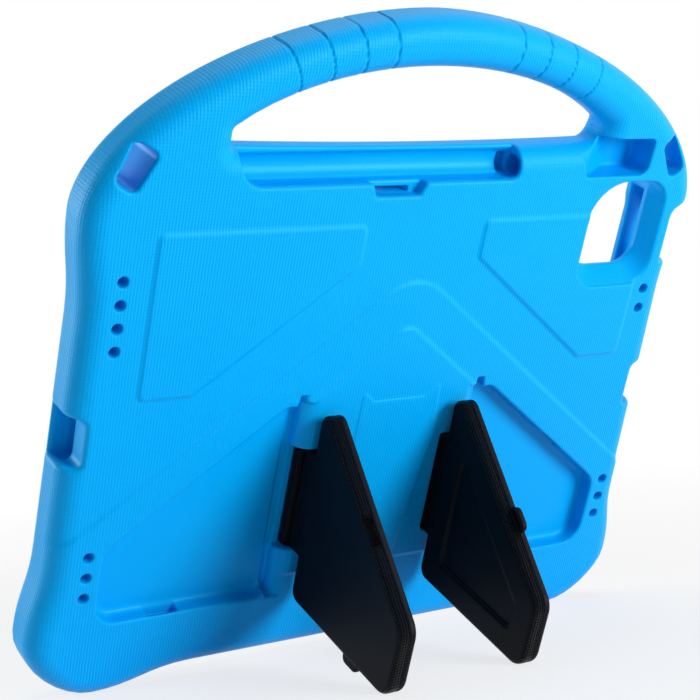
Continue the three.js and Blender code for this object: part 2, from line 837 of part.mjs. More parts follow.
function hingeGroup(name, side) {
  const group = new THREE.Group();
  group.position.set(side * axisOut, axisDepth, 0);
  const turning = new THREE.Group();
  turning.rotation.z = -side * Math.PI / 2;
  turning.add(namedMesh(`${name}_wing`, wingSolid(side), blackFoam));
  turning.add(namedMesh(`${name}_hinge_sleeve`, hingeSleeve(), paleNylon));
  group.add(turning, namedMesh(`${name}_hinge_pin`, rod(pinRadius, 0, 0, pinFoot, pinTop), steel));
  return group;
}

function lowest(object) {
  object.updateMatrixWorld(true);
  return new THREE.Box3().setFromObject(object, true).min.z;
}

// The lean at which the wing tips come down to the level of the lower corners
function standingLean(whole, shell, wing) {
  let low = 0;
  let high = Math.PI / 4;
  while (high - low > leanTolerance) {
    const lean = (low + high) / 2;
    whole.rotation.x = lean;
    whole.updateMatrixWorld(true);
    if (lowest(wing) > lowest(shell)) low = lean;
    else high = lean;
  }
  return low;
}

function tabletCase() {
  const upright = new THREE.Group();
  const shell = namedMesh('foam_shell', foamShell(), blueFoam);
  const left = hingeGroup('left', -1);
  upright.add(shell, left, hingeGroup('right', 1));
  const whole = new THREE.Group();
  whole.add(upright);
  upright.rotation.x = standingLean(whole, shell, left);
  whole.rotation.x = 0;
  whole.updateMatrixWorld(true);
  const bounds = new THREE.Box3().setFromObject(whole, true);
  const middle = bounds.getCenter(new THREE.Vector3());
  whole.position.set(-middle.x, -middle.y, -bounds.min.z);
  return whole;
}

export default tabletCase();
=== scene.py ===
# A moulded foam tablet case that stands on two fold-out wings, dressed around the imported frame.
# Shapes are worked out in the case's own frame, in millimetres: X to the right seen from behind,
# Y into the case towards the screen, Z up along the case, origin at the middle of the back face.
import itertools
import json
import math

import bpy
import numpy as np
from mathutils import Matrix


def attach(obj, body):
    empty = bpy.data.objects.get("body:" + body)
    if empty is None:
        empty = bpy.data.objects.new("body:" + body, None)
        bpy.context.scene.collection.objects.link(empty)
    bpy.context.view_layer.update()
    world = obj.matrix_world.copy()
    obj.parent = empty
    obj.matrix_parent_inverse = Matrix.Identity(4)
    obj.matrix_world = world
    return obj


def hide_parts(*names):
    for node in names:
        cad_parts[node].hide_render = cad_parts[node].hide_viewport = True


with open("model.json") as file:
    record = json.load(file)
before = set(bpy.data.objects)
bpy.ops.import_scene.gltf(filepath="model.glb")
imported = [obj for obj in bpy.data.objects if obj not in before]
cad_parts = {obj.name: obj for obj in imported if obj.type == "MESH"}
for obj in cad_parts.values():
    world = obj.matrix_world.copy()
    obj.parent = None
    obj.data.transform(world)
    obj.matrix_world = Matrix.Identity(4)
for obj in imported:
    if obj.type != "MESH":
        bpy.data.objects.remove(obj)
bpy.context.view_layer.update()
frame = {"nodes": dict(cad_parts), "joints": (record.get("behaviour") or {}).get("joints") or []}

# Section of the case
MM = 0.001
BACK_PLATE = 10.7
BAY_FRONT = 17.2
CASE_DEPTH = 21.0
BACK_ROUND = 9.0
FRONT_ROUND = 5.0

# Raised areas of its back
STEP_RISE = 1.0
STEP_RUN = 2.2
LOWER_APEX = 64.5
LOWER_APEX_ROUND = 21.0
CENTRE_APEX = 42.0
CENTRE_APEX_ROUND = 7.0
CENTRE_DROP = 66.0
ORNAMENT_RISE = 0.45
ORNAMENT_RUN = 1.2
ORNAMENT_ROUND = 1.2

# Outline of the case, seen from behind. The halves are those of the shoulder, waist, hip and foot.
ARCH_RISE = 161.6
ARCH_SHIFT = 2.4
SHOULDER_RISE = 87.5
PORT_HALVES = (140.3, 136.9, 138.3, 142.8)
KEY_HALVES = (135.5, 131.9, 135.2, 141.1)
WAIST_TOP = 49.3
WAIST_DROP = 45.8
FOOT_WIDE_DROP = 84.0
PORT_TOE_HALF = 113.8
KEY_TOE_HALF = 112.8
TOE_DROP = 110.4
SILL_HALF = 72.0
SILL_DROP = 103.8
ARCH_POWER = 1.807
FAR_OUT = 144.8

# How far a cut runs past the case's side, and past a face
PAST_SIDE = 6
PAST_FACE = 9

# Tablet bay
BAY_HALF = 124.4
BAY_RISE = 89.85
BAY_CORNER = 11.0
SCREEN_OVERLAP = 2
LIP_OVERLAP = 3.5
SIDE_LIP_OVERLAP = 8.0

# Carrying handle
OPEN_ARC_HALF = 104.0
OPEN_ARC_RISE = 54.8
OPEN_LEFT = 86.6
OPEN_RIGHT = 81.5
OPEN_RIGHT_FOOT = 79.5
BAR_TOP = 112.4
BAR_SAG = 1.42
OPEN_LEFT_ROUND = 1.6
OPEN_RIGHT_ROUND = 2.3
OPEN_FOOT_ROUND = 5.1
OPEN_FLARE_BACK = 9.0
OPEN_FLARE_FRONT = 8.4
OPEN_FLARE_RUN = 4
OPEN_SIDE_BLEND = 1.5
GROOVE_WIDTH = 0.7
GROOVE_DEPTH = 0.9
GROOVE_FIRST = 27.8
GROOVE_PITCH = 13.1
GROOVES_PER_SIDE = 4
GROOVE_FOOT = BAR_TOP + 3

# Pencil channel
PENCIL_RADIUS = 5.4
PENCIL_DEPTH = 6.3
PENCIL_RISE = 104.6
PENCIL_START = -80.5
MOUTH_START = PENCIL_START - 3
PENCIL_END = 39.0
POCKET_END = 46.0
UPPER_LIP_DEPTH = 8.6
LOWER_LIP_RISE = 99.5

# Wings and their hinges. The rounds are those of the inner foot, outer foot, tip and inner top.
CHEVRON_ANGLE = math.radians(37.4)
CHEVRON_SLOPE = math.tan(CHEVRON_ANGLE)
AXIS_OUT = 33.8
AXIS_DEPTH = 4.0
WING_INNER = 8.4
WING_INNER_FOOT = 9.9
WING_REACH = 83.0
WING_FOOT_REACH = 82.8
WING_TOP = 13.15
WING_FOOT = 74.0
WING_THICK = 8.4
WING_FACE = 6.65
WING_EDGE = 2.0
WING_ROUNDS = (5.0, 7.8, 9.0, 4.2)
WING_GAP = 1.3
SWING_GAP = 0.4
FIELD_MARGIN = 12.5
FIELD_DEPTH = 1.0
FIELD_RUN = 2.6
SEAM_WIDTH = 0.35
SEAM_DEPTH = 0.25
SEAM_SHIFT = 0.9
FLOOR_GAP = 0.35
POCKET_FLOOR = AXIS_DEPTH + WING_THICK - WING_FACE + FLOOR_GAP
KNUCKLE_RADIUS = 4.1
KNUCKLE_GAP = 0.5
KNUCKLE_END_GAP = 0.6
KNUCKLE_TOP = -9.8
KNUCKLE_FOOT = -54.0
BOSS_TOP = 11.0
BOSS_FOOT = -72.0
PIN_BORE = 1.8
PIN_TOP = 6.3
PIN_FOOT = -69.8
SLEEVE_BORE = 3.0
LATCH_PLACE = 55.0
LATCH_LENGTH = 10.4
LATCH_RISE = 3.5
LATCH_NEAR = -2.25
LATCH_FAR = 0.75
TAB_ROUND = 3.0
NUB_ROUND = 2.6
LATCH_EDGE = 0.8
PULL_PLACE = 51.0
PULL_LENGTH = 12.0
PULL_DEPTH = 1.0

# Where the case stands in the frame, read from its left hinge
hinge = {joint["name"]: joint for joint in frame["joints"]}["left_wing_fold"]
CASE_UP = np.array(hinge["axis"])
CASE_RIGHT = np.array([1.0, 0.0, 0.0])
CASE_INTO = np.cross(CASE_UP, CASE_RIGHT)
CASE_AXES = np.stack([CASE_RIGHT, CASE_INTO, CASE_UP])
LEAN = math.atan2(-CASE_UP[1], CASE_UP[2])
CASE_ORIGIN = np.array(hinge["pos_m"]) + (CASE_RIGHT * AXIS_OUT - CASE_INTO * AXIS_DEPTH) * MM


def to_world(points):
    return np.asarray(points) @ CASE_AXES * MM + CASE_ORIGIN


# Camera, solved from the photograph in the case's own frame
CAMERA_PLACE = (-375.4, -485.5, 294.2)
CAMERA_YAW = math.radians(-36.02)
CAMERA_PITCH = math.radians(23.44)
CAMERA_ROLL = math.radians(10.91)
FOCAL_PIXELS = 1713.06
CENTRE_PIXEL = (355.94, 345.42)
IMAGE_PIXELS = 700
SENSOR = 36.0

# Light: the world's strength, and the lamps' names, places and widths in metres and power in watts
LAMP_TARGET = np.array([0, 0, 0.12])
WORLD_STRENGTH = 0.15
LAMPS = (
    ("key", (0.62, -1.22, 0.34), 0.7, 20.0),
    ("left", (-1.0, 0.95, 0.45), 0.8, 12.0),
    ("top", (0.1, 0.1, 1.5), 1.0, 6.0),
)


def camera_axes():
    """Right, up and forward, in the frame."""
    flat = math.cos(CAMERA_PITCH)
    forward = -np.array([math.sin(CAMERA_YAW) * flat, -math.cos(CAMERA_YAW) * flat, math.sin(CAMERA_PITCH)])
    right = np.cross(forward, [0, 0, 1])
    right /= np.linalg.norm(right)
    up = np.cross(right, forward)
    c, s = math.cos(CAMERA_ROLL), math.sin(CAMERA_ROLL)
    return np.stack([c * right + s * up, -s * right + c * up, forward]) @ CASE_AXES


def make_camera():
    right, up, forward = camera_axes()
    data = bpy.data.cameras.new("camera")
    data.sensor_width = SENSOR
    data.lens = FOCAL_PIXELS / IMAGE_PIXELS * SENSOR
    data.shift_x = (IMAGE_PIXELS / 2 - CENTRE_PIXEL[0]) / IMAGE_PIXELS
    data.shift_y = (CENTRE_PIXEL[1] - IMAGE_PIXELS / 2) / IMAGE_PIXELS
    camera = bpy.data.objects.new("camera", data)
    bpy.context.scene.collection.objects.link(camera)
    turn = np.eye(4)
    turn[:3, :3] = np.stack([right, up, -forward]).T
    turn[:3, 3] = to_world(CAMERA_PLACE)
    camera.matrix_world = Matrix(turn.tolist())
    bpy.context.scene.camera = camera


# Flat outlines, as lists of (x, z)

def unit(vector):
    return vector / np.linalg.norm(vector)


def rounded(corners, steps=8):
    """Corners given as (x, z, radius), each rounded with an arc."""
    points = []
    for place, (x, z, radius) in enumerate(corners):
        if radius == 0:
            points.append((x, z))
            continue
        corner = np.array([x, z])
        back = unit(np.array(corners[place - 1][:2]) - corner)
        ahead = unit(np.array(corners[(place + 1) % len(corners)][:2]) - corner)
        half = math.acos(np.clip(back @ ahead, -1, 1)) / 2
        centre = corner + unit(back + ahead) * radius / math.sin(half)
        start = corner + back * radius / math.tan(half) - centre
        end = corner + ahead * radius / math.tan(half) - centre
        turn = math.atan2(start[0] * end[1] - start[1] * end[0], start @ end)
        for step in range(steps + 1):
            c, s = math.cos(turn * step / steps), math.sin(turn * step / steps)
            points.append((centre[0] + c * start[0] - s * start[1],
                           centre[1] + s * start[0] + c * start[1]))
    return points


def rectangle(left, right, bottom, top, radius):
    corners = ((left, bottom), (right, bottom), (right, top), (left, top))
    return rounded([(x, z, radius) for x, z in corners])


def bend(start, start_handle, end_handle, end, steps=8):
    points = []
    for step in range(1, steps + 1):
        t = step / steps
        weights = ((1 - t) ** 3, 3 * t * (1 - t) ** 2, 3 * t * t * (1 - t), t ** 3)
        places = (start, start_handle, end_handle, end)
        points.append(tuple(sum(w * p[axis] for w, p in zip(weights, places)) for axis in (0, 1)))
    return points


def side_outline(halves, toe, apex):
    """One side of the case, from the top of the arch to the middle of the sill."""
    shoulder, waist, hip, foot = halves
    handle_share, corner_share, arch_steps = 0.45, 0.434, 32
    points = []
    for step in range(arch_steps + 1):
        angle = math.pi / 2 * (1 - step / arch_steps)
        across = max(math.cos(angle), 0) ** (2 / ARCH_POWER)
        up = math.sin(angle) ** (2 / ARCH_POWER)
        points.append((apex + (shoulder - apex) * across,
                       SHOULDER_RISE + (ARCH_RISE - SHOULDER_RISE) * up))
    run = (SHOULDER_RISE - WAIST_TOP) * handle_share
    points += bend((shoulder, SHOULDER_RISE), (shoulder, SHOULDER_RISE - run),
                   (waist, WAIST_TOP + run), (waist, WAIST_TOP))
    points.append((hip, -WAIST_DROP))
    run = (FOOT_WIDE_DROP - WAIST_DROP) * handle_share
    points += bend((hip, -WAIST_DROP), (hip, -WAIST_DROP - run),
                   (foot, -FOOT_WIDE_DROP + run), (foot, -FOOT_WIDE_DROP))
    drop, run = (TOE_DROP - FOOT_WIDE_DROP) * corner_share, (foot - toe) * corner_share
    points += bend((foot, -FOOT_WIDE_DROP), (foot, -FOOT_WIDE_DROP - drop), (toe + run, -TOE_DROP),
                   (toe, -TOE_DROP))
    run = (toe - SILL_HALF) * handle_share
    points += bend((toe, -TOE_DROP), (toe - run, -TOE_DROP), (SILL_HALF + run, -SILL_DROP),
                   (SILL_HALF, -SILL_DROP))
    return points + [(0, -SILL_DROP)]


def case_outline():
    key_side = side_outline(KEY_HALVES, KEY_TOE_HALF, -ARCH_SHIFT)
    port_side = side_outline(PORT_HALVES, PORT_TOE_HALF, ARCH_SHIFT)
    return key_side + [(-x, z) for x, z in reversed(port_side[1:-1])]


def chevron(apex, radius, half, foot):
    return rounded([
        (0, apex, radius), (half, apex - half * CHEVRON_SLOPE, 0), (half, -foot, 0),
        (-half, -foot, 0), (-half, apex - half * CHEVRON_SLOPE, 0),
    ])


def panel_outline(side):
    inner, top, inner_foot, foot_inner, foot, outer, corner = 27.6, 83.5, 67.8, 91.0, 19.4, 112.5, 2.4
    return rounded([
        (side * inner, top, corner), (side * inner, inner_foot, corner), (side * foot_inner, foot, corner),
        (side * outer, foot, corner), (side * outer, top, corner),
    ])


def ornament_outline():
    """A plain notched panel between the wings."""
    corners = ((-15.5, 14.5), (-10.0, 9.5), (14.0, 9.5), (20.5, 15.5),
               (22.0, -10.0), (14.0, -61.0), (-11.0, -61.0), (-16.5, -10.0))
    return rounded([(x, z, ORNAMENT_ROUND) for x, z in corners])


def open_arc(x):
    return SHOULDER_RISE + OPEN_ARC_RISE * math.sqrt(1 - ((x + ARCH_SHIFT) / OPEN_ARC_HALF) ** 2)


def outer_arc(x):
    across = x + ARCH_SHIFT
    half = PORT_HALVES[0] - ARCH_SHIFT if across < 0 else KEY_HALVES[0] + ARCH_SHIFT
    share = 1 - (abs(across) / half) ** ARCH_POWER
    return SHOULDER_RISE + (ARCH_RISE - SHOULDER_RISE) * share ** (1 / ARCH_POWER)


def bar_top(x):
    """The top of the bar, which sags a little between the two ends of the opening."""
    middle, half = (OPEN_RIGHT - OPEN_LEFT) / 2, (OPEN_RIGHT + OPEN_LEFT) / 2
    return BAR_TOP - BAR_SAG * (1 - ((x - middle) / half) ** 2)


def opening_outline():
    low_steps, steps = 12, 24
    spread = [-OPEN_LEFT + (OPEN_RIGHT + OPEN_LEFT) * step / low_steps for step in range(1, low_steps)]
    corners = [(-OPEN_LEFT, BAR_TOP, OPEN_LEFT_ROUND), *((x, bar_top(x), 0) for x in spread)]
    corners += [(OPEN_RIGHT_FOOT, BAR_TOP, OPEN_FOOT_ROUND),
                (OPEN_RIGHT, open_arc(OPEN_RIGHT), OPEN_RIGHT_ROUND)]
    for step in range(1, steps):
        x = OPEN_RIGHT - (OPEN_RIGHT + OPEN_LEFT) * step / steps
        corners.append((x, open_arc(x), 0))
    corners.append((-OPEN_LEFT, open_arc(-OPEN_LEFT), OPEN_LEFT_ROUND))
    return rounded(corners)


def key_recess_outline():
    foot, top = 99.75, 115.15
    return rounded([
        (73.5, foot, 1.4), (105.0, foot, 4.5), (105.8, top, 2.25),
        (85.5, top, 3.0), (72.5, 114.5, 1.4), (66.0, 112.6, 1.4), (71.2, 107.6, 3.0),
    ])


def strap_slot_outline(side):
    out, rise, length, width, corner = (118.5 if side > 0 else 123.7), 107.25, 16.0, 8.6, 2.6
    lean = math.radians(28.0) * side
    c, s = math.cos(lean), math.sin(lean)
    upright = rectangle(-width / 2, width / 2, -length / 2, length / 2, corner)
    return [(side * out + c * x - s * z, rise + s * x + c * z) for x, z in upright]


def wing_outline(side, margin=0.0):
    """A folded wing's outline moved outwards by the margin, with its corners rounded to suit."""
    least_round = 2.0
    tip = WING_TOP - (WING_REACH - WING_INNER) * CHEVRON_SLOPE
    corners = np.array([(WING_INNER_FOOT, -WING_FOOT), (WING_FOOT_REACH, -WING_FOOT), (WING_REACH, tip),
                        (WING_INNER, WING_TOP)])
    moved = []
    for place, corner in enumerate(corners):
        along = unit(corner - corners[place - 1])
        onward = unit(corners[(place + 1) % len(corners)] - corner)
        across = np.array([along[1], -along[0]])
        out = unit(across + np.array([onward[1], -onward[0]]))
        x, z = corner + out * margin / (out @ across)
        moved.append((side * x, z, max(WING_ROUNDS[place] + margin, least_round)))
    return rounded(moved)


# Distance fields

def smooth_max(a, b, blend):
    share = np.maximum(blend - np.abs(a - b), 0) / blend
    return np.maximum(a, b) + share * share * blend / 4


def smooth_min(a, b, blend):
    return -smooth_max(-a, -b, blend)


def rounded_edge(a, b, radius):
    """Where both a and b are inside, with the edge between them rounded."""
    a, b = a + radius, b + radius
    return np.minimum(np.maximum(a, b), 0) + np.hypot(np.maximum(a, 0), np.maximum(b, 0)) - radius


def ease(value):
    share = np.clip(value, 0, 1)
    return share * share * (3 - 2 * share)


def span(value, low, high):
    return np.maximum(low - value, value - high)


class Lattice:
    """Points of a box, in millimetres, at which a distance field is worked out."""

    def __init__(self, xs, ys, zs):
        self.lines = [np.asarray(values, np.float32) for values in (xs, ys, zs)]
        self.x = self.lines[0][:, None, None]
        self.y = self.lines[1][None, :, None]
        self.z = self.lines[2][None, None, :]

    def plan(self, outline):
        """Distance to an outline in X and Z, below zero inside it."""
        x, z = self.x, self.z
        nearest = np.full((len(self.lines[0]), 1, len(self.lines[2])), np.inf, np.float32)
        inside = np.zeros(nearest.shape, bool)
        for (ax, az), (bx, bz) in zip(outline, outline[1:] + outline[:1]):
            run_x, run_z = bx - ax, bz - az
            length = run_x ** 2 + run_z ** 2
            if length == 0:
                continue
            share = np.clip(((x - ax) * run_x + (z - az) * run_z) / length, 0, 1)
            nearest = np.minimum(nearest, (x - ax - share * run_x) ** 2 + (z - az - share * run_z) ** 2)
            if az != bz:
                inside ^= ((az > z) != (bz > z)) & (x < ax + (z - az) * run_x / run_z)
        return np.where(inside, -1, 1).astype(np.float32) * np.sqrt(nearest)

    def rod(self, x, y, radius, foot, top):
        """A round bar along Z."""
        return np.maximum(np.hypot(self.x - x, self.y - y) - radius, span(self.z, foot, top))

    def block(self, x, y, z):
        low_x, high_x = sorted(x)
        return np.maximum(np.maximum(span(self.x, low_x, high_x), span(self.y, *y)), span(self.z, *z))


def spaced(low, high, pitch):
    return np.linspace(low, high, int(round((high - low) / pitch)) + 1)


def sample(field, lines, points):
    """The field's value at each point, read between the lattice's points."""
    places = []
    for values, along in zip(lines, points.T):
        low = np.clip(np.searchsorted(values, along, side="right") - 1, 0, len(values) - 2)
        places.append((low, (along - values[low]) / (values[low + 1] - values[low])))
    total = 0
    for corner in itertools.product((0, 1), repeat=3):
        weight = 1
        for (low, share), step in zip(places, corner):
            weight = weight * (share if step else 1 - share)
        total = total + weight * field[tuple(low + step for (low, _), step in zip(places, corner))]
    return total


def slopes(field, lines, points, step=0.3):
    """Outward direction of the field at each point."""
    found = []
    for axis in range(3):
        shift = np.zeros(3)
        shift[axis] = step
        found.append(sample(field, lines, points + shift) - sample(field, lines, points - shift))
    found = np.stack(found, 1)
    return found / np.maximum(np.linalg.norm(found, axis=1, keepdims=True), 1e-9)


def surface(field, lines):
    """Points and four-sided faces of the surface where the field is zero."""
    inside = field < 0
    counts = np.zeros([size - 1 for size in field.shape], np.int8)
    for corner in itertools.product((0, 1), repeat=3):
        counts += inside[tuple(slice(step, step - 1 or None) for step in corner)]
    mixed = (counts > 0) & (counts < 8)
    cells = np.nonzero(mixed)
    numbers = np.full(mixed.shape, -1, np.int32)
    numbers[cells] = np.arange(len(cells[0]))
    total = np.zeros((len(cells[0]), 3))
    hits = np.zeros(len(cells[0]))
    for axis in range(3):
        sides = [other for other in range(3) if other != axis]
        for steps in itertools.product((0, 1), repeat=2):
            low = list(cells)
            for side, step in zip(sides, steps):
                low[side] = low[side] + step
            high = list(low)
            high[axis] = high[axis] + 1
            first, second = field[tuple(low)], field[tuple(high)]
            crossed = (first < 0) != (second < 0)
            share = np.where(crossed, first / np.where(crossed, first - second, 1), 0)
            for place in range(3):
                along = lines[place][low[place]]
                if place == axis:
                    along = along + share * (lines[place][high[place]] - along)
                total[:, place] += np.where(crossed, along, 0)
            hits += crossed
    quads = []
    for axis in range(3):
        second, third = (axis + 1) % 3, (axis + 2) % 3
        low, high = [slice(1, -1)] * 3, [slice(1, -1)] * 3
        low[axis], high[axis] = slice(0, -1), slice(1, None)
        starts, ends = inside[tuple(low)], inside[tuple(high)]
        at = list(np.nonzero(starts != ends))
        outward = starts[tuple(at)]
        ring = []
        for step_two, step_three in ((0, 0), (1, 0), (1, 1), (0, 1)):
            cell = list(at)
            cell[second] = at[second] + step_two
            cell[third] = at[third] + step_three
            ring.append(numbers[tuple(cell)])
        ring = np.stack(ring, 1)
        quads.append(np.where(outward[:, None], ring, ring[:, ::-1]))
    return total / hits[:, None], np.concatenate(quads)


# Meshes

def new_mesh(name, points, quads):
    mesh = bpy.data.meshes.new(name)
    mesh.vertices.add(len(points))
    mesh.vertices.foreach_set("co", np.asarray(points, np.float32).ravel())
    mesh.loops.add(quads.size)
    mesh.loops.foreach_set("vertex_index", quads.ravel().astype(np.int32))
    mesh.polygons.add(len(quads))
    mesh.polygons.foreach_set("loop_start", np.arange(0, quads.size, 4, dtype=np.int32))
    mesh.polygons.foreach_set("loop_total", np.full(len(quads), 4, np.int32))
    mesh.update(calc_edges=True)
    return mesh


def coordinates(mesh):
    points = np.empty(len(mesh.vertices) * 3, np.float32)
    mesh.vertices.foreach_get("co", points)
    return points.reshape(-1, 3).astype(float)


def thinned(mesh, triangles):
    """The mesh with flat stretches joined, so that about so many triangles are left."""
    helper = bpy.data.objects.new("helper", mesh)
    bpy.context.scene.collection.objects.link(helper)
    thin = helper.modifiers.new("thin", "DECIMATE")
    thin.ratio = min(1.0, triangles / (2 * len(mesh.polygons)))
    seen = helper.evaluated_get(bpy.context.evaluated_depsgraph_get())
    result = bpy.data.meshes.new_from_object(seen)
    bpy.data.objects.remove(helper)
    bpy.data.meshes.remove(mesh)
    return result


def moulded(name, field, lattice, triangles, grain, place=lambda points: points):
    """A piece whose surface follows the field. place takes its points into the case's frame."""
    points, quads = surface(field, lattice.lines)
    mesh = thinned(new_mesh(name, points, quads), triangles)
    points = coordinates(mesh)
    normals = slopes(field, lattice.lines, points)
    points -= normals * sample(field, lattice.lines, points)[:, None]
    shares = mesh.attributes.new("grain", "FLOAT", "POINT")
    shares.data.foreach_set("value", np.asarray(grain(points, normals), np.float32))
    ends = to_world(place(points + normals))
    starts = to_world(place(points))
    mesh.vertices.foreach_set("co", starts.astype(np.float32).ravel())
    mesh.polygons.foreach_set("use_smooth", np.ones(len(mesh.polygons), bool))
    mesh.update()
    mesh.normals_split_custom_set_from_vertices(((ends - starts) / MM).tolist())
    piece = bpy.data.objects.new(name, mesh)
    bpy.context.scene.collection.objects.link(piece)
    return piece


# The foam shell

def lift_field(lattice):
    """How far the back stands out of its plane at each column."""
    def rise(outline, run=STEP_RUN):
        return ease(0.5 - lattice.plan(outline) / run)

    lower = rise(chevron(LOWER_APEX, LOWER_APEX_ROUND, FAR_OUT + PAST_SIDE, TOE_DROP + PAST_SIDE))
    centre = rise(chevron(CENTRE_APEX, CENTRE_APEX_ROUND, AXIS_OUT + WING_INNER, CENTRE_DROP))
    fields = np.maximum(np.maximum(lower, rise(panel_outline(-1))), rise(panel_outline(1)))
    return STEP_RISE * (fields + centre) + ORNAMENT_RISE * rise(ornament_outline(), ORNAMENT_RUN)


def shell_body(lattice):
    outline = lattice.plan(case_outline())
    opening = lattice.plan(opening_outline())
    plan = smooth_max(outline, -opening, OPEN_SIDE_BLEND)
    by_opening = ease(0.5 + (-opening - outline) / OPEN_FLARE_RUN)
    back_round = BACK_ROUND + (OPEN_FLARE_BACK - BACK_ROUND) * by_opening
    front_round = FRONT_ROUND + (OPEN_FLARE_FRONT - FRONT_ROUND) * by_opening
    back = rounded_edge(plan, -lift_field(lattice) - lattice.y, back_round)
    return np.maximum(back, rounded_edge(plan, lattice.y - CASE_DEPTH, front_round))


def groove_depths(lattice):
    """The thin grooves across the handle."""
    depth = 0
    for side, place in itertools.product((-1, 1), range(GROOVES_PER_SIDE)):
        x = side * (GROOVE_FIRST + GROOVE_PITCH * place)
        ats = (x - GROOVE_PITCH, x, x + GROOVE_PITCH)
        before, z, after = ((open_arc(at) + outer_arc(at)) / 2 for at in ats)
        lean = math.atan2(after - before, 2 * GROOVE_PITCH)
        off = (lattice.x - x) * math.cos(lean) + (lattice.z - z) * math.sin(lean)
        depth = depth + np.exp(-(2 * off / GROOVE_WIDTH) ** 2)
    return GROOVE_DEPTH * depth * (lattice.z > GROOVE_FOOT)


# Each of these lists pairs a cut's field with the width of the blend round its edge.

def bay_cuts(lattice):
    half, rise = BAY_HALF, BAY_RISE
    bay = np.maximum(lattice.plan(rectangle(-half, half, -rise, rise, BAY_CORNER)),
                     span(lattice.y, BACK_PLATE, BAY_FRONT))
    half, rise = half - SIDE_LIP_OVERLAP, rise - LIP_OVERLAP
    screen = lattice.plan(rectangle(-half, half, -rise, rise, BAY_CORNER - LIP_OVERLAP))
    return [(bay, 0.8), (np.maximum(screen, BAY_FRONT - SCREEN_OVERLAP - lattice.y), 1.6)]


def window_cut(lattice):
    """The camera window, which narrows from the back down to the end of its slope."""
    slope_end = 8
    left, right, foot, top, corner, near_corner = 79.7, 119.5, 51.5, 97.1, 11.0, 18.0
    outer = lattice.plan(rounded([
        (left, foot, corner), (right, foot, corner), (right, top, corner), (left, top, near_corner)]))
    left, right, foot, top, corner, top_corner, near_corner = 83.0, 115.5, 57.6, 95.85, 9.5, 3.0, 16.0
    inner = lattice.plan(rounded([
        (left, foot, corner), (right, foot, corner), (right, top, top_corner), (left, top, near_corner)]))
    return outer + (inner - outer) * np.clip(lattice.y / slope_end, 0, 1)


def speaker_cut(lattice):
    out, inward, radius, pitch, lower, upper, depth = 124.0, 119.6, 2.1, 8.9, -61.9, 39.6, 12.5
    nearest = np.inf
    for x, first, count in ((-out, lower, 3), (out, lower, 3), (-out, upper, 4), (inward, upper, 2)):
        for place in range(count):
            nearest = np.minimum(nearest, np.hypot(lattice.x - x, lattice.z - first - place * pitch) - radius)
    return np.maximum(nearest, lattice.y - depth)


def side_cuts(lattice):
    """Open notches in the two short sides, and the plug's way from the left one into the bay."""
    far, port_in, plug_out, plug_half, key_in = FAR_OUT + PAST_SIDE, 130.6, 134, 8, 125.2
    outer_face = lattice.y - BAY_FRONT
    port = np.maximum(lattice.plan(rectangle(-far, -port_in, -7.2, 12.6, 3.0)), outer_face)
    plug = lattice.block((-plug_out, -BAY_HALF + 2), (BACK_PLATE, BAY_FRONT), (-plug_half, plug_half))
    side = np.maximum(lattice.plan(rectangle(key_in, far, -7.5, 12.1, 2.5)), outer_face)
    keys = np.maximum(lattice.plan(rounded([
        (key_in, 60.5, 2), (far, 58.0, 0), (far, 92.0, 0), (key_in, 84.0, 5)])), outer_face)
    return [(port, 2.4), (plug, 1.0), (side, 2.0), (keys, 2.0)]


def channel_cuts(lattice):
    """The pencil's channel, with a well and a pocket at its right end, and the charge notch below it."""
    x, y, z = lattice.x, lattice.y, lattice.z
    far, well_length, well_depth, well_top, pocket_overlap = BAR_TOP + PAST_FACE, 4, 15, PENCIL_RISE + 2.6, 2
    round_off = np.hypot(y - PENCIL_DEPTH, z - PENCIL_RISE)
    tube = np.maximum(round_off - PENCIL_RADIUS, span(x, MOUTH_START, PENCIL_END))
    plan = lattice.plan(rounded([
        (PENCIL_START, LOWER_LIP_RISE, 9.0), (PENCIL_END, LOWER_LIP_RISE, 3.0), (PENCIL_END, 113.0, 5.0),
        (PENCIL_END - 7, far, 0), (MOUTH_START, far, 0), (MOUTH_START, 108.0, 4.0)]))
    mouth = np.maximum(plan, y - UPPER_LIP_DEPTH)
    well = lattice.block((PENCIL_END - well_length, PENCIL_END), (PENCIL_DEPTH, well_depth),
                         (LOWER_LIP_RISE, well_top))
    pocket = np.maximum(rounded_edge(span(y, 2.2, 11.2), span(z, 99.8, 107.2), 3.0),
                        span(x, PENCIL_END - pocket_overlap, POCKET_END))
    notch_foot, notch_depth, slit_start = 94.3, 5, 3
    charge = np.maximum(lattice.plan(rounded([
        (-25.4, notch_foot, 1.5), (-6.0, notch_foot, 1.5), (-1.5, PENCIL_RISE, 0), (-29.0, PENCIL_RISE, 0),
    ])), y - notch_depth)
    slit = lattice.block((-25, -9), (slit_start, CASE_DEPTH + PAST_FACE), (94.4, 96.6))
    channel = smooth_min(np.maximum(tube, plan), mouth, 1.0)
    return [(channel, 1.6), (well, 1.4), (pocket, 1.2), (charge, 1.6), (slit, 0.8)]


def key_recess_cut(lattice):
    """A hollow over the volume keys that ramps down to the right."""
    shallow, fall, start, run, blend = 1.5, 11.5, 69.0, 24.0, 1.5
    floor = shallow + fall * ease((lattice.x - start) / run)
    return smooth_max(lattice.plan(key_recess_outline()), lattice.y - floor, blend)


